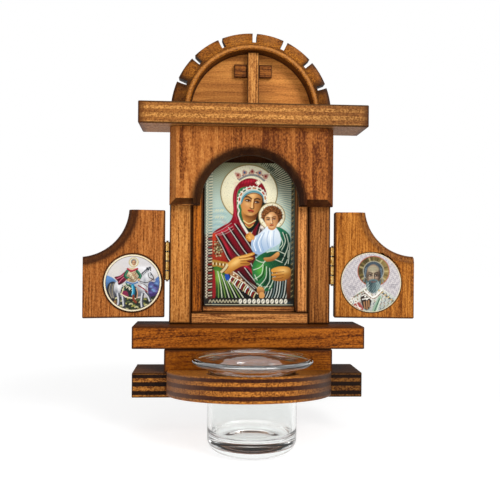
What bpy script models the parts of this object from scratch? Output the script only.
"""Wooden home altar: niche with an icon, arched crown, two hinged doors and a glass cup on a plate.

Metres, +Z up. The front looks towards -Y and the back lies in the plane y = 0, against the wall.
Heights below are measured from the underside of the bottom bar and depths from the wall.
The origin is on the back board, MOUNT_HEIGHT above that underside.
"""
import math

import bmesh
import bpy
from mathutils import Matrix, Vector

# Frame and fits
MOUNT_HEIGHT = 0.150        # the origin's height above the underside of the bottom bar
GAP = 0.0003                # between two pieces that touch

# Shelves, bottom bar and the block between them
BAR_LENGTH = 0.1415
MIDDLE_SHELF_LENGTH = 0.1433
TOP_SHELF_LENGTH = 0.1425
SHELF_DEPTH = 0.0340
BAR_THICKNESS = 0.0150
MIDDLE_SHELF_TOP = 0.0433
MIDDLE_SHELF_THICKNESS = 0.01375
TOP_SHELF_TOP = 0.1811
TOP_SHELF_THICKNESS = 0.0137
LOWER_BLOCK_WIDTH = 0.1036
BAR_SHIFT = -0.0018         # hand-fitted pieces stand a little off the centre line
LOWER_BLOCK_SHIFT = -0.0014
MIDDLE_SHELF_SHIFT = -0.0012
TOP_SHELF_SHIFT = 0.0010

# Body round the niche
BODY_WIDTH = 0.1023
BODY_FRONT = 0.0190
STILE_WIDTH = 0.0137
BACK_THICKNESS = 0.0060
RAIL_HEIGHT = 0.0068
STRIP_FRONT = 0.0176
LEFT_STRIP_WIDTH = 0.0067
RIGHT_STRIP_WIDTH = 0.0074
LEDGE_FRONT = 0.0130
LEDGE_HEIGHT = 0.0034
ICON_WIDTH = 0.0587
ICON_HEIGHT = 0.0926
ICON_THICKNESS = 0.0032
ICON_CENTRE = 0.0001

# Hood over the niche
HOOD_WIDTH = 0.1031
HOOD_THICKNESS = 0.0087
HOOD_BOTTOM = 0.1182
HOOD_SHIFT = 0.0003
ARCH_RADIUS = 0.0313
ARCH_SHIFT = -0.0007
ARCH_CENTRE_HEIGHT = 0.1190
HOOD_CHAMFER = 0.0042

# Crown: toothed arch board, recessed panel and cross
CROWN_CENTRE = 0.0006
CROWN_CENTRE_HEIGHT = 0.1792
CROWN_RADIUS = 0.0524
CROWN_FRONT = 0.0160
RING_INNER_RADIUS = 0.0399
RING_OUTER_RADIUS = 0.0433
BEAD_ROUND = 0.0014
PANEL_FRONT = 0.0060
SLOT_LEANS = (-66.0, -46.3, -23.3, 2.0, 24.9, 47.7, 68.4)    # degrees from upright, hand-sawn
SLOT_WIDTH = 0.0028
SLOT_DEPTH = 0.0067
CROSS_CENTRE = 0.0014
CROSS_UPRIGHT_WIDTH = 0.0073
CROSS_UPRIGHT_TOP = 0.2186
CROSS_UPRIGHT_FRONT = 0.0112
CROSS_ARM_LENGTH = 0.0083
CROSS_ARM_HEIGHT = 0.0082
CROSS_ARM_MIDDLE = 0.2070
CROSS_ARM_FRONT = 0.0088

# Candle plate and glass cup
PLATE_CENTRE = -0.0010
PLATE_HALF_WIDTH = 0.0500
PLATE_REACH = 0.0650
PLATE_THICKNESS = 0.0141
PLATE_UNDERSIDE = 0.0026
PLATE_RISE = 0.11           # rise of the plate for each metre that it reaches forward
PLATE_SKEW = 0.045          # the hand-cut front curve leans this much to the left
CUP_CENTRE = -0.0015
CUP_AXIS_DEPTH = 0.0693
HOLE_RADIUS = 0.0262
CUP_BODY_RADIUS = 0.0252
CUP_RIM_RADIUS = 0.0344
CUP_WALL = 0.0022
CUP_RIM_TOP = 0.0304
CUP_UNDERSIDE = -0.0222
CUP_FLOOR = -0.0130
CUP_FLOOR_RADIUS = 0.0187
CUP_BASE_RADIUS = 0.0172
CUP_FLARE_START = 0.0230

# Doors, measured from the hinge axis outwards
AXIS_OFFSET = 0.05245       # from the body's centre line
AXIS_DEPTH = 0.0196
DOOR_INNER_EDGE = 0.00135
DOOR_OUTER_EDGE = 0.0519
DOOR_BOTTOM = 0.0476
DOOR_TOP = 0.1151
DOOR_THICKNESS = 0.0085
DOOR_CUT_RADIUS = 0.0320
LEFT_CUT_CENTRE = (0.0553, 0.1172)
RIGHT_CUT_CENTRE = (0.0530, 0.1190)
DOOR_CUT_CHAMFER = 0.0042
DOOR_EDGE_ROUND = 0.0007
LEFT_DOOR_TURN = math.radians(10.0)     # the doors stand this much short of fully open
RIGHT_DOOR_TURN = math.radians(-6.0)

# Round pictures in the doors
LEFT_ROUNDEL_PLACE = (0.0214, 0.0693)
RIGHT_ROUNDEL_PLACE = (0.0248, 0.0704)
LEFT_ROUNDEL_RADIUS = 0.0177
RIGHT_ROUNDEL_RADIUS = 0.0190
LEFT_RECESS_MARGIN = 0.0008
RIGHT_RECESS_MARGIN = 0.0003
RECESS_DEPTH = 0.0014
ROUNDEL_THICKNESS = 0.0012
ROUNDEL_RIM_WIDTH = 0.0014
ROUNDEL_RIM_RAISE = 0.0003

# Butt hinges
HINGE_HEIGHT = 0.0241
LEFT_HINGE_MIDDLE = 0.0831
RIGHT_HINGE_MIDDLE = 0.0808
KNUCKLES = 4
KNUCKLE_GAP = 0.0003
KNUCKLE_RADIUS = 0.00115
BORE_RADIUS = 0.00058
PIN_RADIUS = 0.00050
PIN_HEAD_RADIUS = 0.00095
PIN_HEAD_HEIGHT = 0.0005
LEAF_THICKNESS = 0.0005
LEAF_DEPTH = 0.0074
LEAF_CLEARANCE = 0.0015     # from the axis to a leaf's edge beside the other leaf's knuckles

ROUND_SIDES = 48


def clear_scene():
    for old in list(bpy.data.objects):
        bpy.data.objects.remove(old, do_unlink=True)


def up(height):
    """World Z of a height above the underside of the bottom bar."""
    return height - MOUNT_HEIGHT


def finish_material(name, colour, roughness, metallic=0.0, transmission=0.0, alpha=1.0):
    material = bpy.data.materials.new(name)
    material.use_nodes = True
    shader = material.node_tree.nodes["Principled BSDF"]
    shader.inputs["Base Color"].default_value = (*colour, 1.0)
    shader.inputs["Roughness"].default_value = roughness
    shader.inputs["Metallic"].default_value = metallic
    shader.inputs["Transmission Weight"].default_value = transmission
    shader.inputs["Alpha"].default_value = alpha
    material.diffuse_color = (*colour, alpha)
    return material


def finished(name, shape, material, smooth_angle=math.radians(30)):
    """Close a bmesh into a named object with its material, faces outwards, round parts smooth."""
    bmesh.ops.recalc_face_normals(shape, faces=shape.faces)
    mesh = bpy.data.meshes.new(name)
    shape.to_mesh(mesh)
    shape.free()
    mesh.materials.append(material)
    mesh.shade_smooth()
    mesh.set_sharp_from_angle(angle=smooth_angle)
    obj = bpy.data.objects.new(name, mesh)
    bpy.context.scene.collection.objects.link(obj)
    return obj


def boolean(obj, operation, other):
    """Cut obj with other, or join other to it. The other object stays as a hidden guide."""
    step = obj.modifiers.new(operation.lower() + "_" + other.name, "BOOLEAN")
    step.operation = operation
    step.solver = "EXACT"
    step.object = other
    other.display_type = "WIRE"
    other.hide_render = True


def block_shape(left, right, back, front, bottom, top):
    """A box between two places across, two depths from the wall and two heights."""
    shape = bmesh.new()
    bmesh.ops.create_cube(shape, size=1.0)
    size = Vector((right - left, front - back, top - bottom))
    centre = Vector(((left + right) / 2, -(front + back) / 2, up((bottom + top) / 2)))
    bmesh.ops.scale(shape, vec=size, verts=shape.verts)
    bmesh.ops.translate(shape, vec=centre, verts=shape.verts)
    return shape


def round_edges(shape, edges, radius, segments=2):
    bmesh.ops.bevel(shape, geom=edges, offset=radius, offset_type="OFFSET", segments=segments,
                    profile=0.5, affect="EDGES", material=-1, clamp_overlap=False)


def block(name, across, depths, heights, material, edge_round=0.0005):
    shape = block_shape(across[0], across[1], depths[0], depths[1], heights[0], heights[1])
    round_edges(shape, list(shape.edges), edge_round)
    return finished(name, shape, material)


def board_shape(outline, front, back):
    """A board cut to an outline of (across, height) points, between two depths."""
    shape = bmesh.new()
    corners = [shape.verts.new((x, -front, z)) for x, z in outline]
    face = shape.faces.new(corners)
    grown = bmesh.ops.extrude_face_region(shape, geom=[face])
    moved = [item for item in grown["geom"] if isinstance(item, bmesh.types.BMVert)]
    bmesh.ops.translate(shape, vec=(0.0, front - back, 0.0), verts=moved)
    bmesh.ops.recalc_face_normals(shape, faces=shape.faces)
    return shape


def arc(centre, radius, start, end, steps):
    """Points along an arc in the (across, height) plane, angles counted from +X."""
    points = []
    for i in range(steps + 1):
        angle = start + (end - start) * i / steps
        points.append((centre[0] + radius * math.cos(angle), centre[1] + radius * math.sin(angle)))
    return points


def turned_shape(profile, sides=ROUND_SIDES):
    """Turn a closed (radius, height) profile about the Z axis."""
    shape = bmesh.new()
    ring = [shape.verts.new((radius, 0.0, height)) for radius, height in profile]
    edges = [shape.edges.new((a, b)) for a, b in zip(ring, ring[1:])]
    if profile[0][0] > 0.0:
        edges.append(shape.edges.new((ring[-1], ring[0])))
    bmesh.ops.spin(shape, geom=ring + edges, cent=(0, 0, 0), axis=(0, 0, 1),
                   angle=math.tau, steps=sides, use_merge=True)
    bmesh.ops.remove_doubles(shape, verts=shape.verts, dist=1e-6)
    return shape


def rod_shape(radius, bottom, top, sides=20):
    return turned_shape([(0.0, bottom), (radius, bottom), (radius, top), (0.0, top)], sides)


def centred(middle, width):
    return middle - width / 2, middle + width / 2


def make_shelves(wood, ply):
    depths = (0.0, SHELF_DEPTH)
    middle_shelf_foot = MIDDLE_SHELF_TOP - MIDDLE_SHELF_THICKNESS
    block("bottom_bar", centred(BAR_SHIFT, BAR_LENGTH), depths, (0.0, BAR_THICKNESS), ply)
    block("lower_block", centred(LOWER_BLOCK_SHIFT, LOWER_BLOCK_WIDTH), depths,
          (BAR_THICKNESS + GAP, middle_shelf_foot - GAP), wood)
    block("middle_shelf", centred(MIDDLE_SHELF_SHIFT, MIDDLE_SHELF_LENGTH), depths,
          (middle_shelf_foot, MIDDLE_SHELF_TOP), wood, 0.0010)
    block("top_shelf", centred(TOP_SHELF_SHIFT, TOP_SHELF_LENGTH), depths,
          (TOP_SHELF_TOP - TOP_SHELF_THICKNESS, TOP_SHELF_TOP), ply, 0.0007)


def make_body(wood):
    """Posts, rail, strips and back board, standing between the middle and the top shelf."""
    foot = MIDDLE_SHELF_TOP + GAP
    head = TOP_SHELF_TOP - TOP_SHELF_THICKNESS - GAP
    half = BODY_WIDTH / 2
    inner = half - STILE_WIDTH
    behind = BACK_THICKNESS + GAP
    block("back_board", (-half, half), (0.0, BACK_THICKNESS), (foot, head), wood)
    block("left_stile", (-half, -inner), (behind, BODY_FRONT), (foot, head), wood, 0.0007)
    block("right_stile", (inner, half), (behind, BODY_FRONT), (foot, head), wood, 0.0007)
    rail_top = foot + RAIL_HEIGHT
    block("bottom_rail", (GAP - inner, inner - GAP), (behind, BODY_FRONT), (foot, rail_top), wood)
    strip_foot = rail_top + GAP
    left_edge = GAP - inner + LEFT_STRIP_WIDTH
    right_edge = inner - GAP - RIGHT_STRIP_WIDTH
    block("left_inner_strip", (GAP - inner, left_edge), (behind, STRIP_FRONT),
          (strip_foot, head), wood)
    block("right_inner_strip", (right_edge, inner - GAP), (behind, STRIP_FRONT),
          (strip_foot, head), wood)
    ledge_top = strip_foot + LEDGE_HEIGHT
    block("icon_ledge", (left_edge + GAP, right_edge - GAP), (behind, LEDGE_FRONT),
          (strip_foot, ledge_top), wood, 0.0004)
    return ledge_top


def make_icon(ledge_top, print_finish):
    behind = BACK_THICKNESS + GAP
    foot = ledge_top + GAP
    block("icon_plate", centred(ICON_CENTRE, ICON_WIDTH), (behind, behind + ICON_THICKNESS),
          (foot, foot + ICON_HEIGHT), print_finish, 0.0002)


def make_hood(wood):
    """Board with a half-round arch cut up into it, chamfered at the sides, bottom and arch."""
    left, right = centred(HOOD_SHIFT, HOOD_WIDTH)
    arch_left, arch_right = centred(ARCH_SHIFT, 2 * ARCH_RADIUS)
    bottom = up(HOOD_BOTTOM)
    top = up(TOP_SHELF_TOP - TOP_SHELF_THICKNESS - GAP)
    back = BODY_FRONT + GAP
    front = back + HOOD_THICKNESS
    arch = arc((ARCH_SHIFT, up(ARCH_CENTRE_HEIGHT)), ARCH_RADIUS, math.pi, 0.0, 32)
    outline = [(left, bottom), (arch_left, bottom), *arch, (arch_right, bottom),
               (right, bottom), (right, top), (left, top)]
    shape = board_shape(outline, front, back)
    chamfered = []
    for edge in shape.edges:
        on_front = all(vert.co.y < -front + GAP for vert in edge.verts)
        at_top = all(vert.co.z > top - GAP for vert in edge.verts)
        if on_front and not at_top:
            chamfered.append(edge)
    round_edges(shape, chamfered, HOOD_CHAMFER, segments=1)
    return finished("hood", shape, wood)


def crown_profile():
    """Section of the arch board as (radius, depth): bead ring in front, coved tooth face, back."""
    bead_middle = (RING_INNER_RADIUS + RING_OUTER_RADIUS) / 2
    bead_half = (RING_OUTER_RADIUS - RING_INNER_RADIUS) / 2
    bead_foot = CROWN_FRONT - BEAD_ROUND
    bead = []
    bead_steps = 6
    for i in range(bead_steps + 1):
        angle = math.pi * i / bead_steps
        bead.append((bead_middle - bead_half * math.cos(angle),
                     bead_foot + BEAD_ROUND * math.sin(angle)))
    shoulder = CROWN_FRONT - 0.0024
    rim = CROWN_FRONT - 0.0078
    cove = []
    steps = 5
    for i in range(steps + 1):
        t = i / steps
        radius = RING_OUTER_RADIUS + (CROWN_RADIUS - RING_OUTER_RADIUS) * t
        depth = rim + (shoulder - rim) * (1.0 - t) ** 1.7
        cove.append((radius, depth))
    return [(RING_INNER_RADIUS, 0.0), *bead, *cove, (CROWN_RADIUS, 0.0)]


def make_arch_board(ply):
    """Half ring spun about the crown's centre, cut flat on the shelf, with slots between teeth."""
    shape = bmesh.new()
    centre = Vector((CROWN_CENTRE, 0.0, up(CROWN_CENTRE_HEIGHT)))
    section = [shape.verts.new((CROWN_CENTRE + radius, -depth, centre.z))
               for radius, depth in crown_profile()]
    face = shape.faces.new(section)
    bmesh.ops.spin(shape, geom=[face], cent=centre, axis=(0, -1, 0), angle=math.pi, steps=56)
    bmesh.ops.recalc_face_normals(shape, faces=shape.faces)
    foot = (0.0, 0.0, up(TOP_SHELF_TOP + GAP))
    bisected = bmesh.ops.bisect_plane(shape, geom=shape.verts[:] + shape.edges[:] + shape.faces[:],
                                      dist=1e-7, plane_co=foot, plane_no=(0, 0, 1),
                                      clear_inner=True)
    open_edges = [item for item in bisected["geom_cut"] if isinstance(item, bmesh.types.BMEdge)]
    bmesh.ops.holes_fill(shape, edges=open_edges, sides=0)
    board = finished("tympanum_arch", shape, ply)
    reach = 0.02
    for i, degrees in enumerate(SLOT_LEANS):
        lean = math.radians(degrees)
        slot = bmesh.new()
        bmesh.ops.create_cube(slot, size=1.0)
        bmesh.ops.scale(slot, vec=(SLOT_WIDTH, 4 * CROWN_FRONT, reach), verts=slot.verts)
        lift = CROWN_RADIUS - SLOT_DEPTH + reach / 2
        bmesh.ops.translate(slot, vec=(0.0, 0.0, lift), verts=slot.verts)
        bmesh.ops.rotate(slot, cent=(0, 0, 0), matrix=Matrix.Rotation(lean, 3, "Y"),
                         verts=slot.verts)
        bmesh.ops.translate(slot, vec=centre, verts=slot.verts)
        boolean(board, "DIFFERENCE", finished("slot_guide_" + str(i + 1), slot, ply))
    return board


def make_crown(wood, ply):
    make_arch_board(ply)
    foot = TOP_SHELF_TOP + GAP
    radius = RING_INNER_RADIUS - GAP
    drop = foot - CROWN_CENTRE_HEIGHT
    lean = math.asin(drop / radius)
    outline = arc((CROWN_CENTRE, up(CROWN_CENTRE_HEIGHT)), radius, math.pi - lean, lean, 40)
    finished("tympanum_panel", board_shape(outline, PANEL_FRONT, 0.0), wood)
    block("cross_upright", centred(CROSS_CENTRE, CROSS_UPRIGHT_WIDTH),
          (PANEL_FRONT + GAP, CROSS_UPRIGHT_FRONT), (foot, CROSS_UPRIGHT_TOP), wood, 0.0003)
    heights = centred(CROSS_ARM_MIDDLE, CROSS_ARM_HEIGHT)
    near = CROSS_UPRIGHT_WIDTH / 2 + GAP
    far = near + CROSS_ARM_LENGTH
    depths = (PANEL_FRONT + GAP, CROSS_ARM_FRONT)
    block("cross_arm_left", (CROSS_CENTRE - far, CROSS_CENTRE - near), depths, heights, wood, 0.0003)
    block("cross_arm_right", (CROSS_CENTRE + near, CROSS_CENTRE + far), depths, heights, wood, 0.0003)


def make_candle_plate(ply):
    """Half-oval plate with a round hole, rising a little towards its front."""
    shape = bmesh.new()
    steps = 44
    outline = []
    for i in range(steps + 1):
        angle = math.pi * i / steps
        across = -PLATE_HALF_WIDTH * math.cos(angle)
        outline.append(shape.verts.new((across, -PLATE_REACH * math.sin(angle), 0.0)))
    face = shape.faces.new(outline)
    grown = bmesh.ops.extrude_face_region(shape, geom=[face])
    moved = [item for item in grown["geom"] if isinstance(item, bmesh.types.BMVert)]
    bmesh.ops.translate(shape, vec=(0.0, 0.0, PLATE_THICKNESS), verts=moved)
    bmesh.ops.recalc_face_normals(shape, faces=shape.faces)
    rims = [edge for edge in shape.edges if abs(edge.verts[0].co.z - edge.verts[1].co.z) < 1e-6]
    round_edges(shape, rims, 0.0006)
    for vert in shape.verts:
        vert.co.x += PLATE_CENTRE + PLATE_SKEW * vert.co.y
        vert.co.z += up(PLATE_UNDERSIDE) - PLATE_RISE * vert.co.y
        vert.co.y -= SHELF_DEPTH + GAP
    plate = finished("candle_plate", shape, ply)
    hole = rod_shape(HOLE_RADIUS, up(-0.01), up(0.04), ROUND_SIDES)
    bmesh.ops.translate(hole, vec=(CUP_CENTRE, -CUP_AXIS_DEPTH, 0.0), verts=hole.verts)
    boolean(plate, "DIFFERENCE", finished("cup_hole_guide", hole, ply))


def cup_profile():
    """Wall of the cup as (radius, height): thick base, straight body, flare and rolled rim."""
    base_corner = 0.0075
    base_centre = (CUP_BODY_RADIUS - base_corner, CUP_UNDERSIDE + base_corner)
    outside = [(0.0, CUP_UNDERSIDE + 0.0012), (0.6 * CUP_BASE_RADIUS, CUP_UNDERSIDE + 0.0010),
               (0.92 * CUP_BASE_RADIUS, CUP_UNDERSIDE)]
    outside += arc(base_centre, base_corner, -math.pi / 2, 0.0, 5)
    bead = 0.0017
    bead_centre = (CUP_RIM_RADIUS - bead, CUP_RIM_TOP - bead)
    flare = []
    steps = 4
    flare_end = (CUP_RIM_RADIUS - 1.6 * bead, CUP_RIM_TOP - 2.1 * bead)
    for i in range(steps + 1):
        t = i / steps
        radius = CUP_BODY_RADIUS + (flare_end[0] - CUP_BODY_RADIUS) * t ** 1.4
        flare.append((radius, CUP_FLARE_START + (flare_end[1] - CUP_FLARE_START) * t))
    rim = arc(bead_centre, bead, -math.pi / 3, math.pi * 0.85, 6)
    inside = [(CUP_BODY_RADIUS - CUP_WALL + 0.0042, CUP_FLARE_START + 0.0036),
              (CUP_BODY_RADIUS - CUP_WALL, CUP_FLARE_START)]
    floor_corner = CUP_BODY_RADIUS - CUP_WALL - CUP_FLOOR_RADIUS
    floor_centre = (CUP_FLOOR_RADIUS, CUP_FLOOR + floor_corner)
    inside += arc(floor_centre, floor_corner, 0.0, -math.pi / 2, 4)
    inside.append((0.0, CUP_FLOOR - 0.0004))
    return [(radius, up(height)) for radius, height in outside + flare + rim + inside]


def make_cup(glass):
    shape = turned_shape(cup_profile(), 44)
    bmesh.ops.translate(shape, vec=(CUP_CENTRE, -CUP_AXIS_DEPTH, 0.0), verts=shape.verts)
    return finished("glass_cup", shape, glass)


def hinge_axis(name, side, turn):
    """Empty on a hinge axis. What hangs on it is drawn as if the door stood fully open."""
    axis = bpy.data.objects.new(name, None)
    axis.location = (side * AXIS_OFFSET, -AXIS_DEPTH, 0.0)
    axis.rotation_euler = (0.0, 0.0, turn)
    bpy.context.scene.collection.objects.link(axis)
    return axis


def door_outline(side, cut_place):
    cut_u, cut_height = cut_place
    top_angle = math.pi + math.asin((cut_height - DOOR_TOP) / DOOR_CUT_RADIUS)
    side_angle = 1.5 * math.pi - math.asin((cut_u - DOOR_OUTER_EDGE) / DOOR_CUT_RADIUS)
    cut = arc(cut_place, DOOR_CUT_RADIUS, side_angle, top_angle, 18)
    corners = [(DOOR_INNER_EDGE, DOOR_BOTTOM), (DOOR_OUTER_EDGE, DOOR_BOTTOM), *cut,
               (DOOR_INNER_EDGE, DOOR_TOP)]
    return [(side * u, up(height)) for u, height in corners]


def make_door(name, side, axis, cut_place, place, recess_radius, wood):
    """Door board with its concave upper corner, whose cut is chamfered on the picture face."""
    shape = board_shape(door_outline(side, cut_place), 0.0, -DOOR_THICKNESS)
    cut_centre = Vector((side * cut_place[0], 0.0, up(cut_place[1])))
    chamfered = []
    rounded = []
    for edge in shape.edges:
        lengths = [(Vector((v.co.x, 0.0, v.co.z)) - cut_centre).length for v in edge.verts]
        on_cut = all(abs(length - DOOR_CUT_RADIUS) < 1e-5 for length in lengths)
        on_face = all(abs(vert.co.y) < 1e-6 for vert in edge.verts)
        crossing = abs(edge.verts[0].co.y - edge.verts[1].co.y) > 1e-6
        if on_cut and on_face:
            chamfered.append(edge)
        elif not (on_cut and crossing):
            rounded.append(edge)
    plain = [edge for edge in rounded if edge.calc_length() > 0.006]
    round_edges(shape, chamfered, DOOR_CUT_CHAMFER, segments=2)
    round_edges(shape, [edge for edge in plain if edge.is_valid], DOOR_EDGE_ROUND)
    door = finished(name, shape, wood, smooth_angle=math.radians(20))
    door.parent = axis
    recess = rod_shape(recess_radius, -RECESS_DEPTH, RECESS_DEPTH, ROUND_SIDES)
    guide = finished(name + "_recess_guide", face_forward(recess, side, place), wood)
    guide.parent = axis
    boolean(door, "DIFFERENCE", guide)
    return door


def face_forward(shape, side, place):
    """Stand a shape that was turned about Z on a door: its +Z end looks out of the picture face."""
    bmesh.ops.rotate(shape, cent=(0, 0, 0), matrix=Matrix.Rotation(math.pi / 2, 3, "X"),
                     verts=shape.verts)
    bmesh.ops.translate(shape, vec=(side * place[0], 0.0, up(place[1])), verts=shape.verts)
    return shape


def make_roundel(name, side, axis, place, radius, rim_raise, material):
    """Picture disc lying in its recess, with a raised rim where rim_raise isn't zero."""
    back = GAP - RECESS_DEPTH
    face = back + ROUNDEL_THICKNESS - rim_raise
    top = face + rim_raise
    edge = 0.0002
    profile = [(0.0, back), (radius - edge, back), (radius, back + edge), (radius, top - edge),
               (radius - edge, top)]
    if rim_raise > 0.0:
        profile += [(radius - ROUNDEL_RIM_WIDTH, top), (radius - ROUNDEL_RIM_WIDTH - edge, face)]
    profile.append((0.0, face))
    disc = finished(name, face_forward(turned_shape(profile), side, place), material)
    disc.parent = axis
    return disc


def knuckle_span(index, middle):
    pitch = (HINGE_HEIGHT + KNUCKLE_GAP) / KNUCKLES
    bottom = middle - HINGE_HEIGHT / 2 + index * pitch
    return bottom, bottom + pitch - KNUCKLE_GAP


def make_leaf(name, sign, owned, middle, brass):
    """Hinge leaf beside the axis: a thin plate with two knuckles curled round the pin.

    sign is the side of the axis, along X, on which the plate stands. The plate runs back from
    the axis, along +Y, which is how both leaves stand when the door is fully open.
    """
    outer = KNUCKLE_RADIUS - 0.0001
    low, high = sorted((sign * (outer - LEAF_THICKNESS), sign * outer))
    bottom = middle - HINGE_HEIGHT / 2
    leaf = finished(name, block_shape(low, high, -LEAF_DEPTH, -LEAF_CLEARANCE,
                                      bottom, bottom + HINGE_HEIGHT), brass)
    for index in owned:
        start, end = knuckle_span(index, middle)
        tab = finished(name + "_tab_guide_" + str(index),
                       block_shape(low, high, -LEAF_CLEARANCE - 0.0004, 0.0, start, end), brass)
        barrel = finished(name + "_barrel_guide_" + str(index),
                          rod_shape(KNUCKLE_RADIUS, up(start), up(end)), brass)
        boolean(leaf, "UNION", tab)
        boolean(leaf, "UNION", barrel)
        tab.parent = leaf
        barrel.parent = leaf
    bore = finished(name + "_bore_guide",
                    rod_shape(BORE_RADIUS, up(bottom - 0.001), up(bottom + HINGE_HEIGHT + 0.001)),
                    brass)
    bore.parent = leaf
    boolean(leaf, "DIFFERENCE", bore)
    return leaf


def make_pin(name, middle, brass):
    low = middle - HINGE_HEIGHT / 2 - KNUCKLE_GAP
    high = middle + HINGE_HEIGHT / 2 + KNUCKLE_GAP
    profile = [(0.0, low - PIN_HEAD_HEIGHT), (0.7 * PIN_HEAD_RADIUS, low - PIN_HEAD_HEIGHT),
               (PIN_HEAD_RADIUS, low - 0.4 * PIN_HEAD_HEIGHT), (PIN_HEAD_RADIUS, low),
               (PIN_RADIUS, low), (PIN_RADIUS, high), (PIN_HEAD_RADIUS, high),
               (PIN_HEAD_RADIUS, high + 0.4 * PIN_HEAD_HEIGHT),
               (0.7 * PIN_HEAD_RADIUS, high + PIN_HEAD_HEIGHT), (0.0, high + PIN_HEAD_HEIGHT)]
    return finished(name, turned_shape([(r, up(h)) for r, h in profile], 16), brass)


def make_hinge(prefix, side, axis, middle, brass):
    """Body leaf and pin stand still at the axis; the door leaf turns with the door."""
    body_leaf = make_leaf(prefix + "_hinge_body_leaf", -side, (1, 3), middle, brass)
    body_leaf.location = (side * AXIS_OFFSET, -AXIS_DEPTH, 0.0)
    pin = make_pin(prefix + "_hinge_pin", middle, brass)
    pin.location = (side * AXIS_OFFSET, -AXIS_DEPTH, 0.0)
    door_leaf = make_leaf(prefix + "_hinge_door_leaf", side, (0, 2), middle, brass)
    door_leaf.parent = axis


def main():
    clear_scene()
    wood = finish_material("stained_wood", (0.38, 0.16, 0.05), 0.45)
    ply = finish_material("stained_plywood", (0.35, 0.14, 0.05), 0.50)
    icon_print = finish_material("foil_print", (0.45, 0.33, 0.25), 0.25, metallic=0.3)
    roundel_print = finish_material("roundel_print", (0.62, 0.58, 0.55), 0.20)
    brass = finish_material("hinge_brass", (0.75, 0.50, 0.20), 0.30, metallic=1.0)
    glass = finish_material("clear_glass", (0.95, 0.98, 0.97), 0.05, transmission=1.0, alpha=0.4)
    make_shelves(wood, ply)
    ledge_top = make_body(wood)
    make_icon(ledge_top, icon_print)
    make_hood(wood)
    make_crown(wood, ply)
    make_candle_plate(ply)
    make_cup(glass)
    left_axis = hinge_axis("left_door_axis", -1, LEFT_DOOR_TURN)
    right_axis = hinge_axis("right_door_axis", 1, RIGHT_DOOR_TURN)
    make_door("left_door", -1, left_axis, LEFT_CUT_CENTRE, LEFT_ROUNDEL_PLACE,
              LEFT_ROUNDEL_RADIUS + LEFT_RECESS_MARGIN, wood)
    make_door("right_door", 1, right_axis, RIGHT_CUT_CENTRE, RIGHT_ROUNDEL_PLACE,
              RIGHT_ROUNDEL_RADIUS + RIGHT_RECESS_MARGIN, wood)
    make_roundel("left_roundel", -1, left_axis, LEFT_ROUNDEL_PLACE, LEFT_ROUNDEL_RADIUS,
                 ROUNDEL_RIM_RAISE, roundel_print)
    make_roundel("right_roundel", 1, right_axis, RIGHT_ROUNDEL_PLACE, RIGHT_ROUNDEL_RADIUS,
                 0.0, roundel_print)
    make_hinge("left", -1, left_axis, LEFT_HINGE_MIDDLE, brass)
    make_hinge("right", 1, right_axis, RIGHT_HINGE_MIDDLE, brass)


main()
